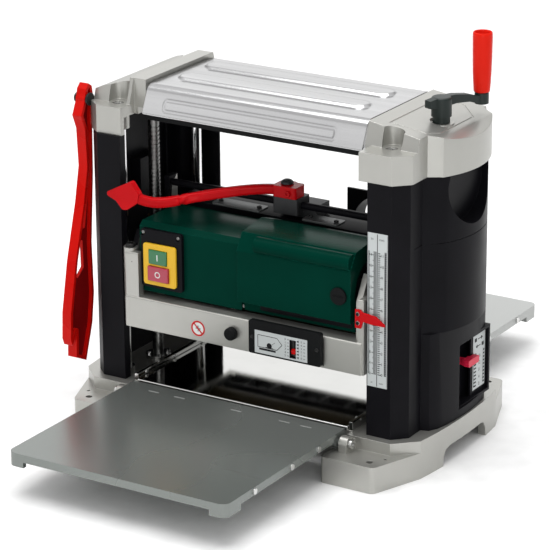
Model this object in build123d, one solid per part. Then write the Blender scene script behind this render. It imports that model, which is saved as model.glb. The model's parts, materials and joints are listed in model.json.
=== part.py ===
from build123d import *
import math
import os

# Thickness planer with folding tables. Millimetres, +X right, +Y to the outfeed side, +Z up.
# The origin is the middle of the base's bolt pattern, at the level of its feet.

# ---- driving dimensions ----
BED_TOP = 62.0            # planing surface above the floor
BED_BOTTOM = 56.0         # underside of the bed, on the base's deck
DECK_BOTTOM = 45.0        # rim under the base's deck
BED_HALF = 168.7          # half width of the polished bed
BED_FRONT = 129.5         # half depth of the bed
TABLE_HALF = 169.5        # half width of a folding table
TABLE_END = 428.5         # outer end of a table from the middle
TABLE_INNER = 136.5       # inner edge of a table
TABLE_PIVOT_Y = 150.0     # table hinge bolts
TABLE_PIVOT_Z = 48.0
FOOT_IN = 159.0           # inner end of a foot
FOOT_OUT = 239.0          # front corner of a foot
FOOT_Y = 184.0            # front face of a foot
LEDGE_Z = 37.0            # top of a foot
RIM_Z = 54.0              # top of the base under the covers
BOLT_X = 225.0            # base bolt pattern, half spacings
BOLT_Y = 167.0
COVER_TOP = 406.0         # top of the post covers
COVER_WALL = 3.0
POST_IN = 195.0           # inner edge of a post
POST_FRONT = 124.0        # front face of a post
POST_OUT = 249.0          # outer face of a post
BULGE_X = 155.0           # centre of the right cover's bulge
BULGE_Y = 7.0
BULGE_R = 130.0
BLOCK_TOP = 445.0         # top of a bracket's corner blocks
TOP_Z = 475.0             # top of the brackets and the cover
COVER_HALF = 172.0        # half width of the top cover
LIP_Z = 436.0             # bottom of the top cover's front lip
SCREW_SEAT = 439.0        # seat of the sunk screws that hold a bracket to its columns
SCREW_SINK_R = 7.8
SCREW_SHANK_R = 4.2
CUTTER_Z = 162.0          # cutterblock axis, head at rest
CUTTER_R = 24.0
ROLLER_Y = 58.0           # feed roller axes
ROLLER_Z = 152.0
ROLLER_R = 16.0
MOTOR_Y = -70.0
MOTOR_Z = 240.0
MOTOR_R = 38.0
BRUSH_X = 152.8           # cap over the motor's brush
BRUSH_Z = 241.7
BAR_Y = 131.0             # front face of the head's bar
BAR_BOTTOM = 139.0
BAR_TOP = 184.0
PAWL_Y = -95.0            # rod of the anti-kickback pawls
PAWL_Z = 164.0
PLATE_IN = 176.0          # head side plates
PLATE_OUT = 184.0
SCREW_X = 204.0           # lead screws
SCREW_Y = -25.0
SCREW_R = 8.0
COLUMN_R = 10.0
COLUMN_X = 214.0          # guide columns, half spacings
COLUMN_Y = 94.0
COLUMNS = [(COLUMN_X, COLUMN_Y), (COLUMN_X, -COLUMN_Y)]
CRANK_X = 240.0           # crank spindle
CRANK_Y = -10.0
CRANK_ARM = (24.0, 66.0)  # crank handle from the spindle
GEAR_R = 18.9             # equal gears of the spindle and the right lead screw
LEVER_X = 10.0            # lock lever pivot
LEVER_Y = -20.0
LEVER_Z = 337.0
FIT = 0.05                # radial clearance of a running fit
GAP = 0.3                 # clearance between faces that only pass

os.makedirs("parts", exist_ok=True)


# ---- helpers ----
def save(shape, name):
    """Write one node: a single solid, or a compound of separate solids."""
    shapes = shape if isinstance(shape, list) else [shape]
    solids = [solid for one in shapes for solid in one.solids()]
    out = solids[0] if len(solids) == 1 else Compound(children=solids)
    out.label = name
    export_step(out, "parts/" + name + ".step")


def box(x0, x1, y0, y1, z0, z1):
    """Box from its limits."""
    size = Box(x1 - x0, y1 - y0, z1 - z0)
    return Pos((x0 + x1) / 2, (y0 + y1) / 2, (z0 + z1) / 2) * size


def vcyl(x, y, z0, z1, r):
    """Upright cylinder."""
    return Pos(x, y, (z0 + z1) / 2) * Cylinder(r, z1 - z0)


def xcyl(y, z, x0, x1, r):
    """Cylinder along X."""
    return Pos((x0 + x1) / 2, y, z) * Rot(0, 90, 0) * Cylinder(r, x1 - x0)


def ycyl(x, z, y0, y1, r):
    """Cylinder along Y."""
    return Pos(x, (y0 + y1) / 2, z) * Rot(90, 0, 0) * Cylinder(r, y1 - y0)


def plan(points, z0, z1):
    """Upright prism over a plan outline."""
    face = make_face(Polyline(*points, close=True))
    return Pos(0, 0, z0) * extrude(face, amount=z1 - z0)


def side(points, x0, x1):
    """Prism along X over an outline of (y, z) points."""
    face = make_face(Polyline(*points, close=True))
    return Pos(x0, 0, 0) * extrude(Plane.YZ * face, amount=x1 - x0)


def front(points, y0, y1):
    """Prism along Y over an outline of (x, z) points."""
    face = make_face(Polyline(*points, close=True))
    return Pos(0, y1, 0) * extrude(Plane.XZ * face, amount=y1 - y0)


def both(shape):
    """The shape and its mirror image on the other side of the YZ plane."""
    return [shape, mirror(shape, Plane.YZ)]


def soften(shape, edges, radius):
    """Fillet the edges, or leave the shape as it is where a fillet has no room."""
    try:
        return fillet(edges, radius)
    except Exception:
        return shape


def vertical_edges(shape, test):
    """Vertical edges whose middle passes the test."""
    return shape.edges().filter_by(Axis.Z).filter_by(lambda e: test(e.center()))


def screw_head(r, h, socket):
    """Socket-head screw top, along Z with its seat at z = 0."""
    head = Pos(0, 0, h / 2) * Cylinder(r, h)
    hexagon = extrude(RegularPolygon(socket, 6), amount=h * 0.6)
    return head - Pos(0, 0, h * 0.5) * hexagon


def gear(r, teeth, width, bore):
    """Toothed wheel about Z: a disc with square-cut teeth, its middle at z = 0."""
    depth = min(2.2, r * 0.16)
    wheel = Cylinder(r, width)
    cut = Box(depth * 2, math.pi * r / teeth, width * 2)
    slots = [Rot(0, 0, 360 * i / teeth) * Pos(r, 0, 0) * cut for i in range(teeth)]
    return wheel - slots - Cylinder(bore, width * 2)


def loop(circles, thick, x0, x1):
    """Closed belt along X around circles of (y, z, r)."""
    def hull(grow):
        rims = [Pos(y, z) * Circle(r + grow).edge() for y, z, r in circles]
        return make_hull(rims)
    band = hull(thick) - hull(0)
    return Pos(x0, 0, 0) * extrude(Plane.YZ * band, amount=x1 - x0)


# ---- base ----
def base_casting():
    bulge = ThreePointArc((268, -107), (275.5, 0), (268, 107))
    low = Polyline((FOOT_IN, 120), (FOOT_IN, FOOT_Y), (FOOT_OUT, FOOT_Y), (268, 107))
    up = Polyline((268, -107), (FOOT_OUT, -FOOT_Y), (FOOT_IN, -FOOT_Y), (FOOT_IN, 120))
    outer = make_face([bulge, low, up])
    foot_block = extrude(outer, amount=LEDGE_Z)
    corner = vertical_edges(foot_block, lambda c: abs(c.X - FOOT_OUT) < 1)
    foot_block = soften(foot_block, corner, 9)
    inner_edge = vertical_edges(foot_block, lambda c: abs(c.X - FOOT_IN) < 1 and abs(c.Y) > 150)
    foot_block = soften(foot_block, inner_edge, 5)
    top_low = Polyline((172, 136), (238, 136), (268, 107))
    top_up = Polyline((268, -107), (238, -136), (172, -136), (172, 136))
    top = Pos(0, 0, LEDGE_Z - 1) * extrude(make_face([bulge, top_low, top_up]), amount=RIM_Z - LEDGE_Z + 1)
    block = foot_block + top
    hollow_low = [(168, -176), (235, -176), (259, -104), (264, 0), (259, 104), (235, 176), (168, 176)]
    block -= plan(hollow_low, -1, 29)
    block -= plan([(180, -128), (235, -128), (257, -104), (257, 104), (235, 128), (180, 128)], 28, 46)
    arch = [(-54, -1), (-53, 13), (-47, 22), (-36, 25), (54, 25), (62, 22), (68, 13), (70, -1)]
    block -= side(arch, 250, 300)
    block -= box(150, 172, -110, 110, -1, 30)
    for s in (-1, 1):
        block -= box(150, 172, min(s * 128, s * 151), max(s * 128, s * 151), 33, 60)
    for s in (-1, 1):
        block -= vcyl(BOLT_X, s * BOLT_Y, -1, 60, 4.5)
        block -= vcyl(238.5, s * 149, 28, 60, 2.2)
        block += vcyl(BOLT_X, s * BOLT_Y, 0, 30, 10.5) - vcyl(BOLT_X, s * BOLT_Y, -1, 60, 4.5)
        lug = box(173, 185, s * TABLE_PIVOT_Y - 10, s * TABLE_PIVOT_Y + 10, LEDGE_Z - 2, TABLE_PIVOT_Z)
        lug += xcyl(s * TABLE_PIVOT_Y, TABLE_PIVOT_Z, 173, 185, 10)
        inner = min(s * TABLE_PIVOT_Y, s * 134)
        lug += box(173, 185, inner, inner + 16, LEDGE_Z - 2, 50)
        lug -= xcyl(s * TABLE_PIVOT_Y, TABLE_PIVOT_Z, 170, 190, 4.0 + FIT)
        block += lug
    for x, y in COLUMNS:
        block -= vcyl(x, y, 40, 60, COLUMN_R)
    block -= vcyl(SCREW_X, SCREW_Y, 20, 60, SCREW_R + FIT)
    deck = box(-175, 175, -127, 127, DECK_BOTTOM, BED_BOTTOM) - box(-160, 160, -120, 120, DECK_BOTTOM - 1, 50)
    return block + mirror(block, Plane.YZ) + deck


def bed_parts():
    plate = box(-BED_HALF, BED_HALF, -BED_FRONT, BED_FRONT, BED_BOTTOM, BED_TOP)
    ends = plate.edges().filter_by(Axis.X).group_by(Axis.Z)[-1]
    save(soften(plate, ends, 2.0), "bed_plate")
    guides = []
    for s in (-1, 1):
        x = s * (BED_HALF + 3.6)
        strip = box(x - 2.9, x + 2.9, -126, 126, BED_BOTTOM, 68)
        strip = chamfer(strip.edges().filter_by(Axis.Y).group_by(Axis.Z)[-1], 1.0)
        for y in (-105, -35, 35, 105):
            strip -= xcyl(y, 65.4, x - 4, x + 4, 1.6)
        guides.append(strip)
    save(guides, "bed_side_guides")


def guide_screws():
    screws = []
    for s in (-1, 1):
        for y in (-105, -35, 35, 105):
            face = s * (BED_HALF + 0.7)
            screw = xcyl(y, 65.4, min(face, face - s * 1.2), max(face, face - s * 1.2), 2.6)
            shank = xcyl(y, 65.4, min(face, face + s * 5), max(face, face + s * 5), 1.6)
            screws.append(screw + shank)
    return screws


# ---- folding tables ----
def table(s):
    """Folding table; s = -1 is the infeed side, +1 the outfeed side."""
    y_in, y_out = s * TABLE_INNER, s * TABLE_END
    lo, hi = min(y_in, y_out), max(y_in, y_out)
    top = box(-TABLE_HALF, TABLE_HALF, lo, hi, 51, BED_TOP)
    corners = vertical_edges(top, lambda c: abs(c.Y) > 400)
    top = soften(top, corners, 12)
    inner = box(-TABLE_HALF + 5, TABLE_HALF - 5, lo + 5, hi - 5, 50, BED_TOP - 5)
    top -= inner
    ribs = [box(x - 2, x + 2, lo + 4, hi - 4, 52, 58) for x in (-110, -55, 0, 55, 110)]
    ribs += [box(-166, 166, s * y - 2, s * y + 2, 52, 58) for y in (210, 290, 360)]
    feet = []
    for x in (-1, 1):
        pad = box(x * 150 - 19.5, x * 150 + 19.5, s * 411 - 17.5, s * 411 + 17.5, 43, 58)
        pad = soften(pad, vertical_edges(pad, lambda c: abs(c.X) > 160 and abs(c.Y) > 420), 12)
        pad -= box(x * 150 - 13, x * 150 + 13, s * 411 - 11, s * 411 + 11, 42, 57)
        cut = vcyl(x * 118, s * 440, 30, 51, 14)
        feet.append(pad - box(x * 132 - 12, x * 132 + 12, s * 411 - 20, s * 411 + 20, 42, 51) - cut)
    ears = []
    for x in (-1, 1):
        x0, x1 = sorted((x * 158, x * 169.5))
        ear = xcyl(s * TABLE_PIVOT_Y, TABLE_PIVOT_Z, x0, x1, 9)
        ear += box(x0, x1, s * TABLE_PIVOT_Y - 9, s * TABLE_PIVOT_Y + 9, TABLE_PIVOT_Z, 58)
        ears.append(ear)
    body = top + ribs + feet + ears
    for x in (-1, 1):
        x0, x1 = sorted((x * 150, x * 175))
        body -= xcyl(s * TABLE_PIVOT_Y, TABLE_PIVOT_Z, x0, x1, 4.0)
        for y in (205, 272, 362):
            body -= xcyl(s * y, 56.5, x0, x1, 2.5)
    for x in (-122, -80, 12, 88, 122):
        body -= box(x - 9, x + 9, s * 158 - 1.2, s * 158 + 1.2, 60.8, 63)
    return body


def table_screws(s):
    """Levelling screws in a table's side skirts."""
    out = []
    for x in (-1, 1):
        for y in (205, 272, 362):
            x0, x1 = sorted((x * 160, x * 169.5))
            h0, h1 = sorted((x * 169.5, x * 171.5))
            out.append(xcyl(s * y, 56.5, x0, x1, 2.5) + xcyl(s * y, 56.5, h0, h1, 4.2))
    return out


def hinge_bolts(s):
    """Two shoulder bolts: screwed into the table's ears, turning in the base's lugs."""
    out = []
    y = s * TABLE_PIVOT_Y
    for x in (-1, 1):
        a, b = sorted((x * 158, x * 186))
        h0, h1 = sorted((x * 185.4, x * 190))
        bolt = xcyl(y, TABLE_PIVOT_Z, a, b, 4.0) + xcyl(y, TABLE_PIVOT_Z, h0, h1, 6.5)
        t0, t1 = sorted((x * 187.5, x * 192))
        key = extrude(Plane.YZ * RegularPolygon(3.4, 6), amount=t1 - t0)
        out.append(bolt - Pos(t0, y, TABLE_PIVOT_Z) * key)
    return out


# ---- posts ----
def cover_outline(grow, inner_x):
    """Plan face of the right cover's upper part, or of its bracket, pushed out by grow."""
    r = BULGE_R + grow
    y0, y1 = -52 - 2 * grow, 66 + 2 * grow
    start = (BULGE_X + math.sqrt(r * r - (y0 - BULGE_Y) ** 2), y0)
    end = (BULGE_X + math.sqrt(r * r - (y1 - BULGE_Y) ** 2), y1)
    out, face, bevel = POST_OUT + grow, POST_FRONT + grow, 106 + grow / 2
    arc = ThreePointArc(start, (BULGE_X + r, BULGE_Y), end)
    turn_x = 231 + grow / 2
    lead = Polyline((inner_x, -face), (turn_x, -face), (out, -bevel), (out, -74 + grow),
                    (262 + grow, -62), start)
    tail = Polyline(end, (262 + grow, 76), (out, 84), (out, bevel), (turn_x, face),
                    (inner_x, face), (inner_x, -face))
    return make_face([lead, arc, tail])


def skirt_outline():
    """Plan face of the right cover's lower part, which bulges less."""
    arc = ThreePointArc((266.5, -58), (273, 8), (266.5, 74))
    lead = Polyline((POST_IN, -POST_FRONT), (231, -POST_FRONT), (POST_OUT, -106), (POST_OUT, -74), (260, -70),
                    (266.5, -58))
    tail = Polyline((266.5, 74), (260, 84), (POST_OUT, 88), (POST_OUT, 106), (231, POST_FRONT),
                    (POST_IN, POST_FRONT), (POST_IN, -POST_FRONT))
    return make_face([lead, arc, tail])


def prism(face, z0, z1):
    """Upright prism over a plan face."""
    return Pos(0, 0, z0) * extrude(face, amount=z1 - z0)


def right_side_cover():
    split = 190.0
    wall = COVER_WALL
    top_face, low_face = cover_outline(0, POST_IN), skirt_outline()
    shell = prism(top_face, split, COVER_TOP) + prism(low_face, RIM_Z, split)
    doorway = box(180, 205, -POST_FRONT + wall, POST_FRONT - wall, RIM_Z - 1, COVER_TOP + 1)
    top_room, low_room = offset(top_face, amount=-wall), offset(low_face, amount=-wall)
    passage = prism(top_room, split - wall - 1, split + wall + 1)
    passage &= prism(low_room, split - wall - 1, split + wall + 1)
    shell -= prism(top_room, split + wall, COVER_TOP + 1)
    shell -= prism(low_room, RIM_Z - 1, split - wall)
    shell -= passage
    shell -= doorway
    inside = prism(cover_outline(-0.5, 200), split, COVER_TOP)
    shell += xcyl(8, 385, 259, 300, 59) & inside
    shell -= xcyl(8, 385, 262, 300, 56)
    window = box(262, 280, -10, 80, 66, 158)
    well = box(250, 270, -12, 82, 64, 160) - box(253, 272, -8, 78, 68, 156)
    shell = shell - window + well
    shell += box(262, 265, 36, 80, 68, 156)
    shell -= box(249, 262, 20, 24, 72, 152)
    seam = prism(cover_outline(1, 240) - cover_outline(-0.8, 230), 314, 315.2)
    return shell - (seam & box(240, 300, -95, 100, 300, 330))


def left_side_cover():
    outer = [(-194, -122), (-231, -122), (-POST_OUT, -105), (-POST_OUT, 105), (-231, 122), (-190, 122)]
    inner = [(-180, -119), (-229.8, -119), (-246, -103.8), (-246, 103.8), (-229.8, 119), (-180, 119)]
    shell = plan(outer, RIM_Z, COVER_TOP) - plan(inner, RIM_Z - 1, COVER_TOP + 1)
    shell += [box(-247, -240, y - 1.5, y + 1.5, 60, 400) for y in (-60, 60)]
    shell += box(-197, -194, -121, -109, RIM_Z, COVER_TOP)
    shell -= box(-250, -244, -20, 20, 300, 340)
    shell += box(-POST_OUT, -228, -24, 24, 296, 344) - box(-250, -231, -20, 20, 300, 340)
    return shell


# ---- top brackets and cover ----
def corner_cut(s, side_x):
    """Room above a bracket's corner block: sloping wall and screw pocket."""
    x0, x1 = sorted((side_x * 168, side_x * 256))
    slope = [(s * 140, BLOCK_TOP), (s * 96, BLOCK_TOP), (s * 82, TOP_Z + 12), (s * 140, TOP_Z + 12)]
    wedge = side(slope, x0, x1)
    return wedge + vcyl(side_x * COLUMN_X, s * (COLUMN_Y - 4), BLOCK_TOP, TOP_Z + 20, 15)


def bracket_screw_places():
    return [(x * COLUMN_X, y * COLUMN_Y) for x in (-1, 1) for y in (-1, 1)]


def right_top_bracket():
    roof = [(COVER_HALF + 3, COVER_TOP), (COVER_HALF + 3, TOP_Z), (270, 459), (293, 449), (293, COVER_TOP)]
    body = extrude(cover_outline(4, COVER_HALF + 3), amount=500) & front(roof, -130, 130)
    body -= box(170, 184, -130, -96, 400, 480) + box(170, 184, 96, 130, 400, 480)
    body -= corner_cut(-1, 1) + corner_cut(1, 1)
    body -= box(170, 186, -97, 97, 400, 440)
    room = [(180, -112), (230, -112), (243, -100), (243, -60), (262, -50), (278, 7), (262, 64), (243, 100),
            (230, 112), (180, 112)]
    body -= plan(room, 400, 430)
    for x, y in COLUMNS:
        body += vcyl(x, y, COVER_TOP + 4, 438, 15) - vcyl(x, y, 400, 424, COLUMN_R)
    for x, y in ((SCREW_X, SCREW_Y), (CRANK_X, CRANK_Y)):
        body -= vcyl(x, y, 400, 423, GEAR_R + 1.3)
    body += vcyl(SCREW_X, SCREW_Y, 423, 434, 13) - vcyl(SCREW_X, SCREW_Y, 400, 428, SCREW_R - 2 + FIT)
    body += vcyl(CRANK_X, CRANK_Y, 424, 463, 17)
    body -= vcyl(CRANK_X, CRANK_Y, 400, 480, 8 + FIT) + vcyl(CRANK_X, CRANK_Y, 463, 480, 15)
    shield = [(196, -70), (248, -66), (262, -48), (262, 40), (232, 70), (196, 74)]
    rim = [(199, -67), (247, -63), (259, -46), (259, 38.5), (231, 67), (199, 71)]
    line = plan(shield, 440, 500) - plan(rim, 440, 500)
    upper = front([(180, 473.4), (180, 490), (275, 490), (275, 457.4)], -90, 100)
    body -= line & upper
    for x, y in bracket_screw_places():
        if x > 0:
            body -= vcyl(x, y, 400, 460, SCREW_SHANK_R) + vcyl(x, y, SCREW_SEAT, 460, SCREW_SINK_R)
    return body


def left_top_bracket():
    roof = [(-COVER_HALF - 3, COVER_TOP), (-COVER_HALF - 3, 480), (-200, 480), (-204, 473), (-240, 465),
            (-253, 459), (-253, COVER_TOP)]
    plan_out = [(-175, -84), (-194, -84), (-194, -118), (-234, -118), (-253, -103), (-253, 103), (-234, 118),
                (-194, 118), (-194, 100), (-175, 100)]
    body = plan(plan_out, COVER_TOP, 500) & front(roof, -130, 130)
    body -= corner_cut(-1, -1) + corner_cut(1, -1)
    body -= box(-188, -170, -97, 101, 400, 440)
    body -= plan([(-180, -110), (-230, -110), (-246, -98), (-246, 98), (-230, 110), (-180, 110)], 400, 430)
    for x, y in COLUMNS:
        body += vcyl(-x, y, COVER_TOP + 4, 438, 15) - vcyl(-x, y, 400, 424, COLUMN_R)
    body += vcyl(-SCREW_X, SCREW_Y, COVER_TOP + 10, 434, 13)
    body -= vcyl(-SCREW_X, SCREW_Y, 400, 428, SCREW_R - 2 + FIT)
    for x, y in bracket_screw_places():
        if x < 0:
            body -= vcyl(x, y, 400, 460, SCREW_SHANK_R) + vcyl(x, y, SCREW_SEAT, 460, SCREW_SINK_R)
    return body


def bracket_screws():
    out = []
    for x, y in bracket_screw_places():
        shank = vcyl(x, y, 408, SCREW_SEAT, SCREW_SHANK_R)
        out.append(Pos(x, y, SCREW_SEAT) * screw_head(7, 5, 4) + shank)
    return out


def top_cover():
    profile = [(-99, LIP_Z), (-82, 471), (-76, TOP_Z), (76, TOP_Z), (82, 471), (99, LIP_Z)]
    inner_top = TOP_Z - 2
    inner = [(-97, LIP_Z - 1), (-80.2, 469.5), (-75.2, inner_top),
             (75.2, inner_top), (80.2, 469.5), (97, LIP_Z - 1)]
    skin = side(profile, -COVER_HALF, COVER_HALF) - side(inner, -COVER_HALF + 2, COVER_HALF - 2)
    for y in (-28, 38):
        slot = extrude(SlotOverall(300, 34), amount=4)
        skin += Pos(-6, y, TOP_Z - 1) * chamfer(slot.edges().group_by(Axis.Z)[-1], 3)
    return skin


def cover_strips():
    out = []
    for s in (-1, 1):
        y0, y1 = sorted((s * 90, s * 92))
        f0, f1 = sorted((s * 84, s * 92))
        out.append(box(-169.5, 169.5, y0, y1, 427, 443) + box(-169.5, 169.5, f0, f1, 441, 443))
    return out


# ---- lift ----
def guide_columns():
    out = []
    for x, y in COLUMNS:
        out += both(vcyl(x, y, 46, 424, COLUMN_R) - vcyl(x, y, 400, 430, SCREW_SHANK_R))
    return out


def collars():
    """Rings on the base around the columns, with their nuts, and around the lead screws."""
    out = []
    for x, y in COLUMNS:
        ring = vcyl(x, y, RIM_Z, 62, 14) - vcyl(x, y, 50, 70, COLUMN_R + 0.01)
        out += both(ring)
    ring_top = 60.0
    ring = vcyl(SCREW_X, SCREW_Y, RIM_Z, ring_top, 18) - vcyl(SCREW_X, SCREW_Y, 50, 70, SCREW_R + FIT)
    for turn in range(45, 360, 90):
        seat = Pos(SCREW_X, SCREW_Y, ring_top) * Rot(0, 0, turn) * Pos(13.6, 0, 0)
        ring += seat * Cylinder(3.4, 2.4) + seat * Pos(0, 0, 1.2) * extrude(RegularPolygon(3.6, 6), 2.4)
    return out + both(ring)


def lead_screw(s):
    """Trapezoidal-thread spindle with its chain sprocket, drawn with grooves at a coarse pitch."""
    body = vcyl(0, 0, 16, 410, SCREW_R) + vcyl(0, 0, 410, 427, SCREW_R - 2)
    groove = Cylinder(SCREW_R + 1, 2) - Cylinder(SCREW_R - 1, 2)
    body -= [Pos(0, 0, z) * groove for z in range(78, 402, 6)]
    body += Pos(0, 0, 22.5) * gear(20, 15, 5, SCREW_R - 1)
    if s > 0:
        body += Pos(0, 0, 415) * gear(GEAR_R, 24, 10, SCREW_R - 3)
    return Pos(s * SCREW_X, SCREW_Y, 0) * body


def drive_chain():
    """Closed loop under the deck around both lead-screw sprockets."""
    inner = [Pos(s * SCREW_X, SCREW_Y) * Circle(20.4).edge() for s in (-1, 1)]
    outer = [Pos(s * SCREW_X, SCREW_Y) * Circle(25.4).edge() for s in (-1, 1)]
    return prism(make_hull(outer) - make_hull(inner), 20, 25)


def crank_parts():
    spindle = vcyl(CRANK_X, CRANK_Y, 408, 470, 8) + Pos(CRANK_X, CRANK_Y, 415) * gear(GEAR_R, 24, 10, 5)
    save(spindle, "crank_spindle")
    hub = vcyl(CRANK_X, CRANK_Y, 472, 498, 13.5)
    hub = fillet(hub.edges().group_by(Axis.Z)[-1], 3)
    hub += vcyl(CRANK_X, CRANK_Y, 463.5, 474, 11.5)
    hub -= vcyl(CRANK_X, CRANK_Y, 460, 470, 8)
    dx, dy = CRANK_ARM
    length = math.hypot(dx, dy)
    wave = [(-24, 486), (-8, 484), (22, 486), (44, 484), (length - 6, 477), (length - 6, 487),
            (44, 494), (20, 498), (-8, 498), (-24, 496)]
    blade = Plane.XZ * make_face(Polyline(*wave, close=True))
    arm = extrude(blade, amount=5.5, both=True) + Pos(length, 0, 484) * Cylinder(9.5, 15)
    arm = Pos(CRANK_X, CRANK_Y, 0) * Rot(0, 0, math.degrees(math.atan2(dy, dx))) * arm
    pin = vcyl(CRANK_X + dx, CRANK_Y + dy, 490, 552, 4)
    save(hub + arm + pin, "crank_arm")
    grip = Pos(CRANK_X + dx, CRANK_Y + dy, 0) * loft([
        Pos(0, 0, 492) * Circle(11), Pos(0, 0, 525) * Circle(12.6), Pos(0, 0, 573) * Circle(13.2)])
    grip -= vcyl(CRANK_X + dx, CRANK_Y + dy, 490, 553, 4 + FIT)
    grip -= vcyl(CRANK_X + dx, CRANK_Y + dy, 557, 590, 10.4)
    save(grip, "crank_handle")


# ---- head ----
def head_casting():
    bar = box(-184, 190, -BAR_Y, -118, BAR_BOTTOM, BAR_TOP)
    bar = soften(bar, bar.edges().filter_by(Axis.X).filter_by(
        lambda e: e.center().Z > BAR_TOP - 1 and e.center().Y < -125), 3)
    shelf = box(-176, 184, -119, -104, 172, 184)
    rear = box(-184, 184, 118, BAR_Y, BAR_BOTTOM, BAR_TOP)
    arm = box(-184, -163, -BAR_Y + 2, -117.5, BAR_BOTTOM, 247)
    arm = soften(arm, arm.edges().group_by(Axis.Z)[-1], 3)
    arm += vcyl(-182, -118, BAR_BOTTOM, 251, 10)
    web = box(184, 193, -BAR_Y + 2, -100, BAR_BOTTOM, 244)
    web = soften(web, web.edges().group_by(Axis.Z)[-1], 2.5)
    plate_line = [(-119, BAR_BOTTOM), (-119, 236), (-100, 270), (60, 270), (119, 232), (119, BAR_BOTTOM)]
    plates = side(plate_line, PLATE_IN, PLATE_OUT)
    posts = box(PLATE_IN, PLATE_OUT, -30, -10, 268, 328)
    plates += posts
    lug_rear = box(PLATE_OUT - 1, COLUMN_X, COLUMN_Y - 14, COLUMN_Y + 14, 190, 230)
    lug_rear += vcyl(COLUMN_X, COLUMN_Y, 190, 230, 15)
    lug_nut = box(PLATE_OUT - 1, SCREW_X, -37, -13, 245, 265) + vcyl(SCREW_X, SCREW_Y, 245, 265, 13)
    lug_front = box(PLATE_OUT - 1, COLUMN_X, -COLUMN_Y - 14, -COLUMN_Y + 14, 150, 182)
    lug_front += vcyl(COLUMN_X, -COLUMN_Y, 150, 182, 15)
    side_part = plates + lug_rear + lug_nut + lug_front
    for cx, cy in COLUMNS:
        side_part -= vcyl(cx, cy, 100, 300, 12)
    side_part -= vcyl(SCREW_X, SCREW_Y, 200, 300, 10.5)
    side_part -= xcyl(0, CUTTER_Z, 170, 190, 20)
    for s in (-1, 1):
        side_part -= xcyl(s * ROLLER_Y, ROLLER_Z, 170, 190, 9)
    side_part -= xcyl(LEVER_Y, 318, 170, 190, 5 + FIT) + xcyl(MOTOR_Y, MOTOR_Z, 170, 190, 7)
    side_part -= xcyl(PAWL_Y, PAWL_Z, 170, 190, 3 + FIT)
    tie = box(-177, 177, 20, 110, 200, 208)
    body = bar + shelf + rear + arm + web + side_part + mirror(side_part, Plane.YZ) + tie
    body -= box(20, 134, -140, -127, 142, 180)
    body -= box(84, 97, -130, -117, 130, 178)
    return body


def rear_frame():
    """Ribbed frame behind the rear roller, open underneath."""
    frame = box(-175.7, 175.7, 82, 117.7, 136, 172)
    edges = [-172, -130, -88, -46, -4, 38, 80, 122, 172]
    pockets = [box(x0 + 2, x1 - 2, 86, 114, 130, 160) for x0, x1 in zip(edges, edges[1:])]
    bosses = [vcyl(x, 100, 142, 165, 7) for x in (-109, -25, 59, 147)]
    over_guides = [box(x0, x1, 80, 120, 130, 142) for x0, x1 in ((-178, -165), (165, 178))]
    return frame - pockets + bosses - over_guides


def head_bushes():
    out = []
    for (x, y), (z0, z1) in zip(COLUMNS, ((190, 230), (150, 182))):
        out += both(vcyl(x, y, z0, z1, 12) - vcyl(x, y, z0 - 1, z1 + 1, COLUMN_R + FIT))
    return out


def lead_nuts():
    nut = vcyl(SCREW_X, SCREW_Y, 243, 267, 10.5) - vcyl(SCREW_X, SCREW_Y, 240, 270, SCREW_R + FIT)
    return both(nut)


def cutterblock_parts():
    body = xcyl(0, CUTTER_Z, -165, 165, CUTTER_R) + xcyl(0, CUTTER_Z, -196, 196, 8.5)
    body += xcyl(0, CUTTER_Z, 186, 196, 16)
    knives = []
    for turn in (0, 180):
        spin = Pos(0, 0, CUTTER_Z) * Rot(turn, 0, 0)
        body -= spin * box(-170, 170, 6, 14, 8, 30)
        body += spin * box(-165, 165, 6, 9.5, 7, 20)
        knives.append(spin * box(-165, 165, 9.6, 11.2, 8.5, 22.2))
        for x in range(-150, 151, 50):
            knives.append(spin * Pos(x, 12.6, 14) * Rot(90, 0, 0) * Cylinder(4, 2.4))
    save(body, "cutterblock")
    save(knives, "knives")


def head_bearings():
    """Cutterblock bearings and roller bushes, pressed into the side plates."""
    ring = xcyl(0, CUTTER_Z, PLATE_IN, PLATE_OUT, 20) - xcyl(0, CUTTER_Z, 170, 190, 8.5 + FIT)
    out = both(ring)
    for y in (-ROLLER_Y, ROLLER_Y):
        out += both(xcyl(y, ROLLER_Z, PLATE_IN, PLATE_OUT, 9) - xcyl(y, ROLLER_Z, 170, 190, 6 + FIT))
    return out


def roller(s):
    """Feed roller with its journals and its chain sprocket."""
    y = s * ROLLER_Y
    body = xcyl(y, ROLLER_Z, -165, 165, ROLLER_R) + xcyl(y, ROLLER_Z, -195, 186, 6)
    return body + Pos(-192.4, y, ROLLER_Z) * Rot(0, 90, 0) * gear(14, 15, 3.4, 5)


def feed_drive():
    drum = xcyl(0, CUTTER_Z, -190.2, -184, 22) - xcyl(0, CUTTER_Z, -200, -180, 8.5 + FIT)
    save(drum, "feed_reducer")
    wheel = Pos(-192.4, 0, CUTTER_Z) * Rot(0, 90, 0) * gear(13, 14, 3.4, 8.5 + FIT)
    save(wheel, "reducer_sprocket")
    rims = [(0, CUTTER_Z, 13.4), (-ROLLER_Y, ROLLER_Z, 14.4), (ROLLER_Y, ROLLER_Z, 14.4)]
    save(loop(rims, 3, -194.1, -190.7), "feed_chain")


def drive_belt():
    return loop([(0, CUTTER_Z, 16.3), (MOTOR_Y, MOTOR_Z, 12.3)], 2.4, 187, 195)


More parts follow.
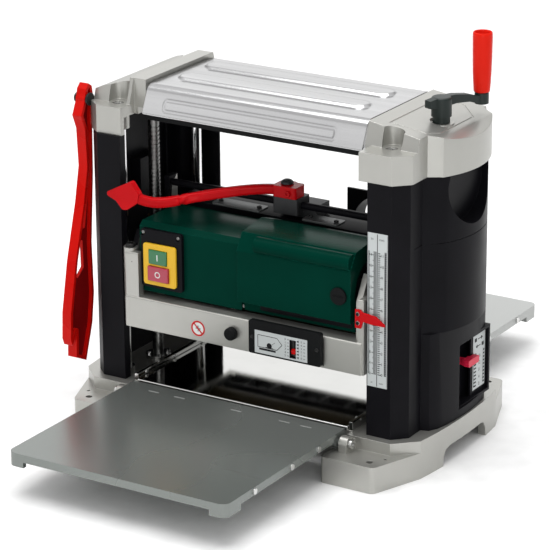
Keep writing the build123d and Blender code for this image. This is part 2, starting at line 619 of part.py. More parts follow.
def motor_parts():
    body = xcyl(MOTOR_Y, MOTOR_Z, 20, 164, MOTOR_R)
    body = fillet(body.edges().filter_by(GeomType.CIRCLE), 4)
    body += box(164, PLATE_IN, MOTOR_Y - 24, MOTOR_Y + 24, MOTOR_Z - 20, MOTOR_Z + 20)
    body -= xcyl(MOTOR_Y, MOTOR_Z, 0, 180, 5 + FIT)
    body -= ycyl(BRUSH_X, MOTOR_Z, -130, -95, 7)
    save(body, "motor")
    shaft = xcyl(MOTOR_Y, MOTOR_Z, 4, 197, 5) + xcyl(MOTOR_Y, MOTOR_Z, 4, 16, 30)
    save(shaft + xcyl(MOTOR_Y, MOTOR_Z, 186, 196, 12), "motor_shaft")
    cap = ycyl(BRUSH_X, BRUSH_Z, -127.2, -110, 7) + ycyl(BRUSH_X, BRUSH_Z, -127.2, -124.2, 12)
    cap -= box(BRUSH_X - 8, BRUSH_X + 8, -128, -126.2, BRUSH_Z - 1.1, BRUSH_Z + 1.1)
    save(cap, "brush_cap")


def motor_cover():
    low = [(-116, 190), (-116, 283), (-108, 289), (-24, 289), (-24, 206), (-50, 206), (-50, 190)]
    low_in = [(-113, 180), (-113, 282), (-107, 286), (-27, 286), (-27, 209), (-47, 209), (-47, 180)]
    high = [(-124, 205), (-124, 277), (-110, 300), (-60, 306), (-24, 294), (-24, 206), (-50, 206), (-50, 190),
            (-112, 190), (-114, 205)]
    high_in = [(-121, 208), (-121, 276), (-108.5, 297), (-60, 302.8), (-27, 291.8), (-27, 209), (-47, 209),
               (-47, 180), (-109, 180), (-111, 208)]
    left = side(low, -168, -4) - side(low_in, -165, 5)
    right = side(high, -6, 170) - side(high_in, -3, 167)
    body = left + (right - side(low_in, -8, -2))
    roll = xcyl(-117, 288, 22, 169, 11.5) & side([(-130, 276), (-130, 300), (-100, 300), (-100, 276)], 0, 200)
    body += roll - side(high_in, -3, 167)
    body -= ycyl(BRUSH_X, BRUSH_Z, -130, -100, 7.3)
    body -= xcyl(MOTOR_Y, MOTOR_Z, 160, 175, MOTOR_R + 3)
    body -= box(-152, -108, -120, -112, 206, 276)
    body -= xcyl(MOTOR_Y, MOTOR_Z, 15, 166, MOTOR_R + 0.4)
    return body


def switch_parts():
    plate = box(-162.5, -96, -122, -116.1, 199, 282)
    plate = soften(plate, plate.edges().filter_by(Axis.Y), 4)
    plate -= box(-150, -110, -125, -110, 208, 258)
    for x in (-160, -102):
        plate -= ycyl(x, 275, -125, -118, 3)
    plate += box(-151.5, -108.5, -116.2, -90, 207, 259) - box(-150, -110, -125, -92, 208, 258)
    frame = box(-157, -104, -125, -122, 204, 263)
    frame = soften(frame, frame.edges().filter_by(Axis.Y), 4)
    frame += box(-149.8, -110.2, -123, -96, 208.2, 257.8)
    frame -= box(-148, -118, -130, -100, 234, 255) + box(-149, -115, -130, -100, 210, 231.5)
    save(plate, "switch_plate")
    save(frame, "switch_frame")
    green = box(-147.7, -118.3, -127, -106, 234.3, 254.7)
    red = box(-148.7, -115.3, -128.5, -106, 210.3, 231.2)
    save(soften(green, green.edges().group_by(Axis.Y)[0], 1.5), "start_button")
    save(soften(red, red.edges().group_by(Axis.Y)[0], 1.5), "stop_button")


def hood_parts():
    outer = [(-18, 294), (4, 300), (60, 294), (113, 236), (113, 209), (24, 209), (-18, 268)]
    inner = [(-16, 292.2), (4, 297.8), (59, 291.8), (111, 235), (111, 200), (26, 200), (-16, 266.5)]
    hood = side(outer, -166, 166) - side(inner, -164, 164)
    hood -= ycyl(80, 256, 60, 130, 44)
    save(hood, "chip_hood")
    pipe = ycyl(80, 256, 119, 146, 48) + ycyl(80, 256, 116, 119, 46.5)
    pipe = pipe + box(26, 134, 113, 117, 206, 306) - ycyl(80, 256, 100, 160, 44)
    save(pipe, "chip_outlet")
    gland = ycyl(-130, 262, 84, 104, 9) - ycyl(-130, 262, 80, 110, 4.2)
    nut = Pos(-130, 0, 262) * Rot(90, 0, 0) * extrude(RegularPolygon(11, 6), amount=5)
    nut = Pos(0, 92, 0) * nut - ycyl(-130, 262, 80, 110, 4.2)
    save((gland + nut) - side(outer, -166, 166), "cord_gland")


def lever_parts():
    x, y, z = LEVER_X, LEVER_Y, LEVER_Z
    block = box(x - 15, x + 24, y - 14, y + 20, 306, 328.5)
    block = soften(block, block.edges().filter_by(Axis.Z), 3)
    foot = box(x - 20, x + 44, y + 2, y + 38, 300.1, 318)
    block = block + foot - xcyl(y, 318, -200, 200, 5 + FIT) - vcyl(x, y, 310, 330, 6)
    cap = Pos(x, y, 346) * scale(Sphere(1), (9, 9, 6)) & box(-50, 50, -60, 40, 346, 360)
    save([block, vcyl(x, y, 324, 347, 6) + cap], "lock_block")
    hub = vcyl(x, y, 329, 345, 14.5) + box(x - 15, x + 22, y - 15, y + 11, 329, 345)
    hub = soften(hub, hub.edges().filter_by(Axis.Z), 4)
    bend = Spline((x - 10, y - 6, 337), (-64, -73.5, 334), (-108, -105, 326),
                  (-130, -121, 323), (-155, -139, 331))
    section = Plane(origin=bend @ 0, z_dir=bend % 0, x_dir=(0, 0, 1)) * RectangleRounded(14, 12, 4.5)
    arm = sweep(section, path=bend)
    paddle_line = [(-206, 331), (-162, 354), (-149, 337), (-151, 325), (-168, 313), (-176, 312), (-186, 323)]
    paddle = front(paddle_line, -145, -135)
    paddle = soften(paddle, paddle.edges().filter_by(Axis.Y), 4)
    lever = hub + arm + paddle - vcyl(x, y, 320, 350, 6 + FIT)
    side_screw = Pos(x + 10, y - 15, 336) * Rot(90, 0, 0) * screw_head(4, 3, 2.2)
    save(lever + side_screw, "lock_lever")


def head_rods():
    """The lock's two push rods and the rod that carries the pawls."""
    rods = [xcyl(LEVER_Y, 318, -189, LEVER_X - 7, 5), xcyl(LEVER_Y, 318, LEVER_X + 7, 189, 5)]
    return rods + [xcyl(PAWL_Y, PAWL_Z, -PLATE_OUT, PLATE_OUT, 3)]


def gauge_parts():
    body = box(21, 133, -139, -131.2, 142, 189)
    body = soften(body, body.edges().filter_by(Axis.Y), 3)
    body += box(24, 130, -131.5, -127.2, 142.3, 179.5)
    body -= box(27, 127, -135, -120, 145, 177)
    body -= box(86, 95, -140, -130, 147, 172)
    save(body, "gauge_housing")
    label = box(31, 113, -139.4, -139, 144.5, 176.5) - box(85.5, 95.5, -141, -130, 146.5, 172.5)
    save(label, "gauge_label")
    foot = box(87, 94, -126.4, -119, 137, 140) + box(88.5, 92.5, -126, -122, 137, 160)
    finger = box(88.5, 92.5, -136, -122, 154, 158) + box(87.5, 93.5, -137.5, -134.5, 152, 159)
    save(foot + finger, "gauge_pointer")
    knob = ycyl(-10, 161, -141, -131, 9)
    knob = fillet(knob.edges().group_by(Axis.Y)[0], 4)
    save(knob, "bar_knob")


def pointer_parts():
    plate = [(181, 205), (181, 231), (189, 231), (192, 228), (212, 226), (226, 216.5),
             (226, 213.5), (206, 213.5), (193, 215), (190, 205)]
    save(front(plate, -131, -129.1), "thickness_pointer")
    screws = []
    for z in (212.5, 225):
        screws.append(ycyl(185.6, z, -132.4, -131, 2.8))
    save(screws, "pointer_screws")


def pawls():
    y, z = PAWL_Y, PAWL_Z
    tooth = [(y - 5, z + 5), (y + 5, z + 6), (y + 7, z - 2), (y + 9, z - 14), (y, z - 26), (y - 2, z - 15),
             (y - 5, z - 4)]
    comb = xcyl(y, z, -158, 158, 4.6) + [side(tooth, x - 4, x + 4) for x in range(-154, 155, 14)]
    return comb - xcyl(y, z, -160, 160, 3 + FIT)


def scale_labels():
    """Printed plates: the thickness scale and the depth stop's scale."""
    return [box(196, 226, -124.5, -124, 125, 338), box(265, 265.5, 42, 76, 74, 152)]


def stop_parts():
    tab = box(254, 274, 14, 44, 118, 128)
    tab = soften(tab, tab.edges().filter_by(Axis.X), 3)
    stem = box(248, 264, 20.3, 23.7, 114, 132)
    save(tab & box(265.8, 280, 0, 60, 100, 140) + stem + box(262, 270, 16, 34, 119, 127), "stop_slider")


def push_stick_parts():
    hook = xcyl(-103, 446, -275, -249, 4) + xcyl(-103, 446, -277, -274, 7) + xcyl(-103, 446, -256.6, -253, 9)
    save(hook - box(-253, -240, -120, -90, 440, 480), "stick_hook")
    outline = [(-111, 444), (-107, 460), (-100, 467), (-93, 462), (-90, 446), (-94, 425), (-96, 340),
               (-104, 240), (-102, 165), (-108, 122), (-125, 71), (-148, 82), (-146, 120), (-156, 102),
               (-160, 112), (-158, 150), (-143, 222), (-120, 300), (-109, 350), (-112, 405), (-120, 425)]
    web = side(outline, -268, -263)
    inner = offset(make_face(Polyline(*outline, close=True)), amount=-5)
    rim = side(outline, -273, -258) - Pos(-280, 0, 0) * extrude(Plane.YZ * inner, amount=30)
    stick = web + rim
    upper_slot = [(-101, 405), (-106, 320), (-118, 262), (-112, 262), (-101, 320), (-98, 390)]
    lower_slot = [(-125, 246), (-119, 246), (-118, 206), (-133, 194), (-140, 200)]
    stick -= side(upper_slot, -280, -250) + side(lower_slot, -280, -250)
    stick += (xcyl(-103, 446, -273, -258, 8) & box(-273, -258, -112, -90, 430, 460))
    stick -= xcyl(-103, 446, -280, -250, 4 + GAP)
    save(stick, "push_stick")


def write_all():
    save(base_casting(), "base_casting")
    bed_parts()
    for name, s in (("infeed", -1), ("outfeed", 1)):
        save(table(s), name + "_table")
        save(table_screws(s) + hinge_bolts(s), name + "_table_bolts")
        save(roller(s), name + "_roller")
    for name, s in (("left", -1), ("right", 1)):
        save(lead_screw(s), name + "_lead_screw")
    pieces = {
        "right_side_cover": right_side_cover, "left_side_cover": left_side_cover,
        "right_top_bracket": right_top_bracket, "left_top_bracket": left_top_bracket,
        "top_cover": top_cover, "cover_strips": cover_strips, "guide_columns": guide_columns,
        "collars": collars, "lift_chain": drive_chain, "head_casting": head_casting,
        "rear_frame": rear_frame, "head_bushes": head_bushes, "lead_nuts": lead_nuts,
        "head_bearings": head_bearings,
        "drive_belt": drive_belt, "motor_cover": motor_cover, "head_rods": head_rods,
        "kickback_pawls": pawls, "scale_labels": scale_labels,
    }
    for name, make in pieces.items():
        save(make(), name)
    save(guide_screws() + bracket_screws(), "frame_screws")
    crank_parts()
    cutterblock_parts()
    feed_drive()
    motor_parts()
    switch_parts()
    hood_parts()
    lever_parts()
    gauge_parts()
    pointer_parts()
    stop_parts()
    push_stick_parts()


write_all()
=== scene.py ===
import json
import math
import bpy
import bmesh
from mathutils import Matrix, Vector


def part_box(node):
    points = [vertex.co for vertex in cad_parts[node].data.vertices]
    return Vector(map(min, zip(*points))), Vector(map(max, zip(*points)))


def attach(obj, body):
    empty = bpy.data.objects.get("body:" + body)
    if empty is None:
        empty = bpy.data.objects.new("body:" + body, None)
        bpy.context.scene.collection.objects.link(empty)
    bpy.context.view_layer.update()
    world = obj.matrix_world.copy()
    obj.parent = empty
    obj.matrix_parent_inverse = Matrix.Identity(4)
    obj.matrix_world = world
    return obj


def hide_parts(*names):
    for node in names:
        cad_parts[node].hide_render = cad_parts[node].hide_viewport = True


# Looks of the thickness planer. Metres, in the CAD model's frame:
# +X right, +Y to the outfeed side, +Z up.
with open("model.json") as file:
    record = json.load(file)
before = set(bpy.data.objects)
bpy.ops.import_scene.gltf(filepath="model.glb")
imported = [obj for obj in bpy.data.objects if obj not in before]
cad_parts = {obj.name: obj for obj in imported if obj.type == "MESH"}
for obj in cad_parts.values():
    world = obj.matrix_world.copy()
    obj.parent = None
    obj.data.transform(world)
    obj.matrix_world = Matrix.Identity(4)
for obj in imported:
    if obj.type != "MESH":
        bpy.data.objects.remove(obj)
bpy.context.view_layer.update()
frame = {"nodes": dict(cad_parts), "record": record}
NODES = frame["nodes"]
RECORD = frame["record"]
SLOT_OF = {part["node"]: part["material_slot"] for part in RECORD["subparts"]}
BODY_OF = {node: body for body, members in RECORD["behaviour"]["bodies"].items() for node in members}
MM = 0.001


# ---------------------------------------------------------------- camera, light and floor
# The photo's camera, found from the straight edges in the photo.
AZIMUTH, ELEVATION, ROLL = math.radians(31.932), math.radians(19.407), math.radians(-0.414)
CAMERA_AT = Vector((1.91446, -3.10895, 1.49229))
LENS = 183.88


def add_camera():
    back = Vector((math.sin(AZIMUTH) * math.cos(ELEVATION), -math.cos(AZIMUTH) * math.cos(ELEVATION),
                   math.sin(ELEVATION)))
    level = Vector((math.cos(AZIMUTH), math.sin(AZIMUTH), 0))
    up = back.cross(level)
    right = math.cos(ROLL) * level + math.sin(ROLL) * up
    top = math.cos(ROLL) * up - math.sin(ROLL) * level
    camera = bpy.data.objects.new("camera", bpy.data.cameras.new("camera"))
    camera.data.lens = LENS
    turn = Matrix((right, top, back)).transposed().to_4x4()
    camera.matrix_world = Matrix.Translation(CAMERA_AT) @ turn
    bpy.context.scene.collection.objects.link(camera)
    bpy.context.scene.camera = camera


def add_light(name, place, target, size, power):
    lamp = bpy.data.lights.new(name, "AREA")
    lamp.shape = "RECTANGLE"
    lamp.size, lamp.size_y = size
    lamp.energy = power
    light = bpy.data.objects.new(name, lamp)
    light.location = place
    light.rotation_euler = (Vector(target) - Vector(place)).to_track_quat("-Z", "Y").to_euler()
    bpy.context.scene.collection.objects.link(light)


def add_world(horizon, overhead):
    """Room light that is dim at the horizon and bright overhead."""
    world = bpy.data.worlds.new("studio")
    bpy.context.scene.world = world
    world.use_nodes = True
    tree = world.node_tree
    coords = tree.nodes.new("ShaderNodeTexCoord")
    split = tree.nodes.new("ShaderNodeSeparateXYZ")
    level = node(tree, "ShaderNodeMapRange", From_Min=0.05, From_Max=0.75, To_Min=horizon, To_Max=overhead)
    tree.links.new(coords.outputs["Generated"], split.inputs["Vector"])
    tree.links.new(split.outputs["Z"], level.inputs["Value"])
    tree.links.new(level.outputs["Result"], tree.nodes["Background"].inputs["Strength"])
    tree.nodes["Background"].inputs["Color"].default_value = (1, 1, 1, 1)


def add_floor():
    size = 14.0
    mesh = bpy.data.meshes.new("floor")
    corners = [(-size, -size, 0), (size, -size, 0), (size, size, 0), (-size, size, 0)]
    mesh.from_pydata(corners, [], [(0, 1, 2, 3)])
    floor = bpy.data.objects.new("floor", mesh)
    bpy.context.scene.collection.objects.link(floor)
    mesh.materials.append(surface("floor_white", (0.93, 0.93, 0.93), roughness=0.7, specular=0.2, grain=0))


# ---------------------------------------------------------------- materials
def node(tree, kind, **inputs):
    made = tree.nodes.new(kind)
    for name, value in inputs.items():
        made.inputs[name.replace("_", " ")].default_value = value
    return made


def noise(tree, scale, detail=3.0, stretch=(1, 1, 1)):
    """Noise value over the object's own coordinates, stretched per axis."""
    coords = tree.nodes.new("ShaderNodeTexCoord")
    mapping = node(tree, "ShaderNodeMapping", Scale=stretch)
    texture = node(tree, "ShaderNodeTexNoise", Scale=scale, Detail=detail)
    tree.links.new(coords.outputs["Object"], mapping.inputs["Vector"])
    tree.links.new(mapping.outputs["Vector"], texture.inputs["Vector"])
    return texture.outputs["Fac"]


def ranged(tree, value, low, high, start=0.3, end=0.7):
    """The value from start..end mapped to low..high."""
    mapped = node(tree, "ShaderNodeMapRange", From_Min=start, From_Max=end, To_Min=low, To_Max=high)
    tree.links.new(value, mapped.inputs["Value"])
    return mapped.outputs["Result"]


def mixed(tree, factor, first, second):
    """Colour mix. first and second are colours or sockets."""
    mix = tree.nodes.new("ShaderNodeMix")
    mix.data_type = "RGBA"
    tree.links.new(factor, mix.inputs["Factor"])
    for socket, value in ((mix.inputs[6], first), (mix.inputs[7], second)):
        if isinstance(value, tuple):
            socket.default_value = (*value, 1)
        else:
            tree.links.new(value, socket)
    return mix.outputs[2]


def shade(color, factor):
    return tuple(min(1.0, c * factor) for c in color)


def worn_edges(tree, base, bevel, wear_and_highlight, amount):
    """The base colour with a second colour broken along the edges: wear on most looks, a painted edge
    highlight on the green plastic.
    """
    geometry = tree.nodes.new("ShaderNodeNewGeometry")
    dot = tree.nodes.new("ShaderNodeVectorMath")
    dot.operation = "DOT_PRODUCT"
    tree.links.new(geometry.outputs["Normal"], dot.inputs[0])
    tree.links.new(bevel.outputs["Normal"], dot.inputs[1])
    edges = ranged(tree, dot.outputs["Value"], 1, 0, 0.80, 0.965)
    chips = ranged(tree, noise(tree, 260, 4), 0, amount, 0.42, 0.62)
    both = tree.nodes.new("ShaderNodeMath")
    both.operation = "MULTIPLY"
    tree.links.new(edges, both.inputs[0])
    tree.links.new(chips, both.inputs[1])
    return mixed(tree, both.outputs["Value"], base, wear_and_highlight)


def surface(name, color, roughness=0.4, metallic=0.0, specular=0.5, gloss=(1, 1, 1), ior=1.5,
            coat=0.0, tint=0.06, spread=0.06, patch=18.0, grain=0.05, grain_scale=900.0,
            edge=0.0007, wear_and_highlight=None, wear_and_highlight_amount=0.5, streak=0.0, streak_stretch=(1, 1, 1),
            streak_scale=60.0, streak_tint=0.0):
    """Painted, moulded or metal surface: mottled colour, uneven roughness, fine grain, and a second colour
    along the edges that is wear on most looks and a painted highlight on the green plastic.
    """
    material = bpy.data.materials.new(name)
    material.use_nodes = True
    tree = material.node_tree
    shader = tree.nodes["Principled BSDF"]
    shader.inputs["Metallic"].default_value = metallic
    shader.inputs["Specular IOR Level"].default_value = specular
    shader.inputs["Specular Tint"].default_value = (*gloss, 1)
    shader.inputs["IOR"].default_value = ior
    shader.inputs["Coat Weight"].default_value = coat
    shader.inputs["Coat Roughness"].default_value = 0.12
    blotches = ranged(tree, noise(tree, patch), 0, 1)
    base = mixed(tree, blotches, shade(color, 1 - tint), shade(color, 1 + tint))
    if streak_tint:
        lines = ranged(tree, noise(tree, streak_scale, 4, streak_stretch), 0, 1, 0.35, 0.65)
        base = mixed(tree, lines, shade(color, 1 - streak_tint), base)
    rough = ranged(tree, noise(tree, patch, 1), roughness - spread, roughness + spread, 0.2, 0.8)
    tree.links.new(rough, shader.inputs["Roughness"])
    if grain == 0:
        tree.links.new(base, shader.inputs["Base Color"])
        return material
    bevel = tree.nodes.new("ShaderNodeBevel")
    bevel.samples = 4
    bevel.inputs["Radius"].default_value = edge
    if wear_and_highlight:
        base = worn_edges(tree, base, bevel, wear_and_highlight, wear_and_highlight_amount)
    fine = node(tree, "ShaderNodeBump", Strength=grain, Distance=0.0006)
    tree.links.new(noise(tree, grain_scale, 2), fine.inputs["Height"])
    tree.links.new(bevel.outputs["Normal"], fine.inputs["Normal"])
    normal = fine.outputs["Normal"]
    if streak:
        lines = node(tree, "ShaderNodeBump", Strength=streak, Distance=0.001)
        tree.links.new(noise(tree, streak_scale, 3, streak_stretch), lines.inputs["Height"])
        tree.links.new(normal, lines.inputs["Normal"])
        normal = lines.outputs["Normal"]
    tree.links.new(base, shader.inputs["Base Color"])
    tree.links.new(normal, shader.inputs["Normal"])
    return material


ALONG_X, ALONG_Y = (0.03, 1, 1), (1, 0.03, 1)
LOOKS = {
    "grey_paint": surface("grey_paint", (0.44, 0.437, 0.41), roughness=0.33, metallic=0.72, tint=0.04,
                          grain=0.12, grain_scale=800, edge=0.0009, wear_and_highlight=(0.85, 0.85, 0.83),
                          wear_and_highlight_amount=0.3),
    "black_paint": surface("black_paint", (0.0052, 0.005, 0.0066), roughness=0.40, specular=0.3,
                           ior=1.22, tint=0.2, grain=0.06, grain_scale=500, edge=0.001,
                           wear_and_highlight=(0.05, 0.05, 0.055), wear_and_highlight_amount=0.5),
    "table_paint": surface("table_paint", (0.215, 0.232, 0.220), roughness=0.27, metallic=0.62,
                           specular=0.5, tint=0.03, spread=0.015, patch=5, grain=0.01, grain_scale=300,
                           edge=0.0003),
    # A lighter copy of the table paint: painted reflection of the bright room, for the outfeed table and
    # the slot inlays.
    "table_painted_reflection": surface("table_painted_reflection", (0.40, 0.41, 0.40), roughness=0.30, metallic=0.35,
                           specular=0.45, tint=0.03, spread=0.015, patch=5, grain=0.01, grain_scale=300,
                           edge=0.0003),
    "bed_steel": surface("bed_steel", (0.60, 0.60, 0.585), roughness=0.055, metallic=1.0, tint=0.03,
                         spread=0.02, grain=0.02, streak=0.02, streak_stretch=ALONG_Y, edge=0.0006),
    "cover_steel": surface("cover_steel", (0.55, 0.55, 0.555), roughness=0.17, metallic=1.0, tint=0.05,
                           spread=0.06, patch=7, grain=0.04, streak=0.05, streak_stretch=ALONG_X,
                           streak_scale=40, streak_tint=0.12, edge=0.001),
    "column_steel": surface("column_steel", (0.82, 0.82, 0.82), roughness=0.12, metallic=1.0,
                            grain=0.02),
    "screw_steel": surface("screw_steel", (0.24, 0.24, 0.235), roughness=0.34, metallic=1.0, tint=0.15,
                           grain=0.08),
    "bolt_steel": surface("bolt_steel", (0.62, 0.62, 0.61), roughness=0.28, metallic=1.0, tint=0.1,
                          grain=0.06),
    "dark_steel": surface("dark_steel", (0.02, 0.02, 0.02), roughness=0.40, metallic=0.5, specular=0.3,
                          tint=0.2, grain=0.1, wear_and_highlight=(0.25, 0.25, 0.25)),
    "cast_iron": surface("cast_iron", (0.045, 0.046, 0.048), roughness=0.45, metallic=0.6, tint=0.2,
                         grain=0.35, grain_scale=500, wear_and_highlight=(0.4, 0.4, 0.4)),
    "plate_grey": surface("plate_grey", (0.11, 0.115, 0.115), roughness=0.4, metallic=0.7, tint=0.1,
                          grain=0.06),
    "bronze": surface("bronze", (0.45, 0.30, 0.12), roughness=0.38, metallic=1.0, tint=0.15, grain=0.08),
    # The green plastic's lighter green along the edges is a painted highlight, not wear.
    "green_plastic": surface("green_plastic", (0.0006, 0.030, 0.0195), roughness=0.22, specular=0.3,
                             gloss=(0.03, 0.55, 0.38), ior=1.18, spread=0.02, tint=0.08, grain=0.05,
                             grain_scale=350, edge=0.0012, wear_and_highlight=(0.03, 0.30, 0.22), wear_and_highlight_amount=0.35),
    "black_plastic": surface("black_plastic", (0.0065, 0.007, 0.0075), roughness=0.45, specular=0.3,
                             ior=1.25, tint=0.15, grain=0.18, grain_scale=1100, edge=0.0006,
                             wear_and_highlight=(0.05, 0.05, 0.05), wear_and_highlight_amount=0.4),
    "red_plastic": surface("red_plastic", (0.54, 0.004, 0.002), roughness=0.28, specular=0.5, ior=1.28,
                           gloss=(1, 0.45, 0.4), tint=0.06, grain=0.08, grain_scale=700, edge=0.0008),
    "red_enamel": surface("red_enamel", (0.50, 0.003, 0.006), roughness=0.22, specular=0.5,
                          gloss=(1, 0.35, 0.35), ior=1.28, tint=0.06, grain=0.07, grain_scale=300,
                          edge=0.0009, wear_and_highlight=(0.9, 0.06, 0.06), wear_and_highlight_amount=0.3),
    "yellow_plastic": surface("yellow_plastic", (0.80, 0.47, 0.012), roughness=0.38, specular=0.4,
                              tint=0.04, grain=0.08),
    "green_button": surface("green_button", (0.010, 0.16, 0.05), roughness=0.25, coat=0.4, tint=0.05,
                            grain=0.04),
    "label_white": surface("label_white", (0.54, 0.57, 0.57), roughness=0.35, specular=0.3, tint=0.02,
                           grain=0.03),
    "black_rubber": surface("black_rubber", (0.060, 0.045, 0.022), roughness=0.6, specular=0.3,
                            tint=0.12, grain=0.25, grain_scale=450),
    "ink": surface("ink", (0.006, 0.006, 0.008), roughness=0.5, specular=0.2, tint=0.1, grain=0.02),
    "grey_ink": surface("grey_ink", (0.16, 0.165, 0.17), roughness=0.5, specular=0.2, tint=0.1,
                        grain=0.02),
    "red_ink": surface("red_ink", (0.60, 0.012, 0.015), roughness=0.5, specular=0.2, tint=0.1,
                       grain=0.02),
    "white_ink": surface("white_ink", (0.80, 0.82, 0.80), roughness=0.5, specular=0.2, tint=0.03,
                         grain=0.02),
    "stop_button": surface("stop_button", (0.42, 0.02, 0.055), roughness=0.25, coat=0.4, tint=0.05,
                           grain=0.04),
    "crank_plastic": surface("crank_plastic", (0.012, 0.019, 0.017), roughness=0.38, specular=0.3,
                             tint=0.12, grain=0.14, grain_scale=900, edge=0.001),
    "handle_red": surface("handle_red", (0.70, 0.014, 0.006), roughness=0.30, specular=0.5, ior=1.28,
                          gloss=(1, 0.5, 0.4), tint=0.04, grain=0.05, grain_scale=500, edge=0.0006),
    # Deeper red for the push stick's recessed web: painted shade.
    "web_red_painted_shade": surface("web_red_painted_shade", (0.20, 0.002, 0.003), roughness=0.5, specular=0.2,
                       gloss=(1, 0.4, 0.4), tint=0.1, grain=0.1, grain_scale=400),
    "slider_red": surface("slider_red", (0.62, 0.012, 0.05), roughness=0.35, specular=0.4, tint=0.05,
                          grain=0.06),
}


# ---------------------------------------------------------------- building pieces
def new_piece(name, mesh, material, like=None, body=None, smooth=35):
    """A new piece that rides on a CAD node's body, or on a named body."""
    piece = bpy.data.objects.new(name, mesh)
    bpy.context.scene.collection.objects.link(piece)
    mesh.materials.clear()
    mesh.materials.append(LOOKS[material])
    for polygon in mesh.polygons:
        polygon.use_smooth = True
    mesh.set_sharp_from_angle(angle=math.radians(smooth))
    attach(piece, BODY_OF[like] if like else body)
    return piece


def bevelled(piece, width, segments=3, angle=28):
    """Rounded edges on a piece."""
    bevel = piece.modifiers.new("edges", "BEVEL")
    bevel.width = width
    bevel.segments = segments
    bevel.limit_method = "ANGLE"
    bevel.angle_limit = math.radians(angle)
    bevel.miter_outer = "MITER_SHARP"
    bevel.use_clamp_overlap = True
    piece.modifiers.new("normals", "WEIGHTED_NORMAL")
    return piece


def softened(name, width, look=None, segments=3):
    """A copy of a CAD node's mesh with merged faces and rounded edges, standing for the node."""
    mesh = NODES[name].data.copy()
    made = bmesh.new()
    made.from_mesh(mesh)
    bmesh.ops.remove_doubles(made, verts=made.verts, dist=2e-5)
    bmesh.ops.dissolve_limit(made, angle_limit=math.radians(1.0), verts=made.verts, edges=made.edges)
    made.to_mesh(mesh)
    made.free()
    piece = new_piece(name + "_shell", mesh, look or SLOT_OF[name], like=name)
    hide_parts(name)
    return bevelled(piece, width, segments)


def mesh_of(made, name, closed=True):
    mesh = bpy.data.meshes.new(name)
    if closed:
        bmesh.ops.recalc_face_normals(made, faces=made.faces)
    made.to_mesh(mesh)
    made.free()
    return mesh


def slab(made, outline, low, high, place):
    """Closed slab over an outline of (a, b) points; place(a, b, t) gives each vertex."""
    rings = [[made.verts.new(place(a, b, t)) for a, b in outline] for t in (low, high)]
    made.faces.new(rings[0][::-1])
    made.faces.new(rings[1])
    count = len(outline)
    for k in range(count):
        made.faces.new((rings[0][k], rings[0][(k + 1) % count], rings[1][(k + 1) % count], rings[1][k]))


def lathe(made, profile, center, steps):
    """Turned shape from (radius, height) points about the upright axis through center."""
    rings = []
    for radius, height in profile:
        ring = []
        for k in range(steps):
            turn = 2 * math.pi * k / steps
            offset = Vector((radius * math.cos(turn), radius * math.sin(turn), height))
            ring.append(made.verts.new(Vector(center) + offset))
        rings.append(ring)
    for low, high in zip(rings, rings[1:]):
        for k in range(steps):
            made.faces.new((low[k], low[(k + 1) % steps], high[(k + 1) % steps], high[k]))
    made.faces.new(rings[0][::-1])
    made.faces.new(rings[-1])


def rounded(width, height, radius, steps=5):
    """Rounded rectangle about the origin as (a, b) points."""
    out = []
    for cx, cy, start in ((1, 1, 0), (-1, 1, 90), (-1, -1, 180), (1, -1, 270)):
        for k in range(steps + 1):
            turn = math.radians(start + 90 * k / steps)
            out.append((cx * (width / 2 - radius) + radius * math.cos(turn),
                        cy * (height / 2 - radius) + radius * math.sin(turn)))
    return out


def screw(name, center, axis, radius, height, like=None, body=None, look="bolt_steel"):
    """Screw head with a rounded rim and a round socket, its top facing along the axis."""
    made = bmesh.new()
    rim = radius * 0.15
    socket = radius * 0.55
    lathe(made, [(radius, 0), (radius, height - rim), (radius - rim, height), (socket, height),
                 (socket * 0.98, height * 0.5), (radius * 0.01, height * 0.5)], (0, 0, 0), steps=36)
    mesh = mesh_of(made, name)
    turn = Vector((0, 0, 1)).rotation_difference(Vector(axis)).to_matrix().to_4x4()
    mesh.transform(Matrix.Translation(center) @ turn)
    return new_piece(name, mesh, look, like=like, body=body)


# ---------------------------------------------------------------- printed marks
class Print:
    """Flat marks on a plane: quads, rings and small digits, a hair above the label."""

    def __init__(self, origin, across, up, lift=0.00012):
        self.origin, self.across, self.up = Vector(origin), Vector(across), Vector(up)
        self.origin += self.across.cross(self.up).normalized() * lift
        self.made = bmesh.new()

    def at(self, a, b):
        return self.origin + self.across * a * MM + self.up * b * MM

    def poly(self, points):
        self.made.faces.new([self.made.verts.new(self.at(a, b)) for a, b in points])

    def bar(self, a0, a1, b0, b1):
        self.poly([(a0, b0), (a1, b0), (a1, b1), (a0, b1)])

    def line(self, start, end, width):
        a, b = Vector(start), Vector(end)
        side = (b - a).normalized()
        side = Vector((-side.y, side.x)) * width / 2
        self.poly([tuple(a - side), tuple(b - side), tuple(b + side), tuple(a + side)])

    def ring(self, a, b, outer, inner, steps=40):
        turns = [2 * math.pi * k / steps for k in range(steps)]
        spots = [(math.cos(turn), math.sin(turn)) for turn in turns]
        out = [self.made.verts.new(self.at(a + outer * x, b + outer * y)) for x, y in spots]
        if inner <= 0:
            self.made.faces.new(out)
            return
        low = [self.made.verts.new(self.at(a + inner * x, b + inner * y)) for x, y in spots]
        for k in range(steps):
            n = (k + 1) % steps
            self.made.faces.new((low[k], out[k], out[n], low[n]))

    def text(self, words, a, b, size):
        curve = bpy.data.curves.new("words", "FONT")
        curve.body = words
        curve.size = size
        curve.align_x = "CENTER"
        curve.align_y = "CENTER"
        source = bpy.data.objects.new("words", curve)
        mesh = bpy.data.meshes.new_from_object(source)
        spots = [self.made.verts.new(self.at(a + v.co.x, b + v.co.y)) for v in mesh.vertices]
        for polygon in mesh.polygons:
            self.made.faces.new([spots[k] for k in polygon.vertices])
        bpy.data.objects.remove(source)

    def piece(self, name, look, like):
        mesh = bpy.data.meshes.new(name)
        self.made.to_mesh(mesh)
        self.made.free()
        return new_piece(name, mesh, look, like=like)


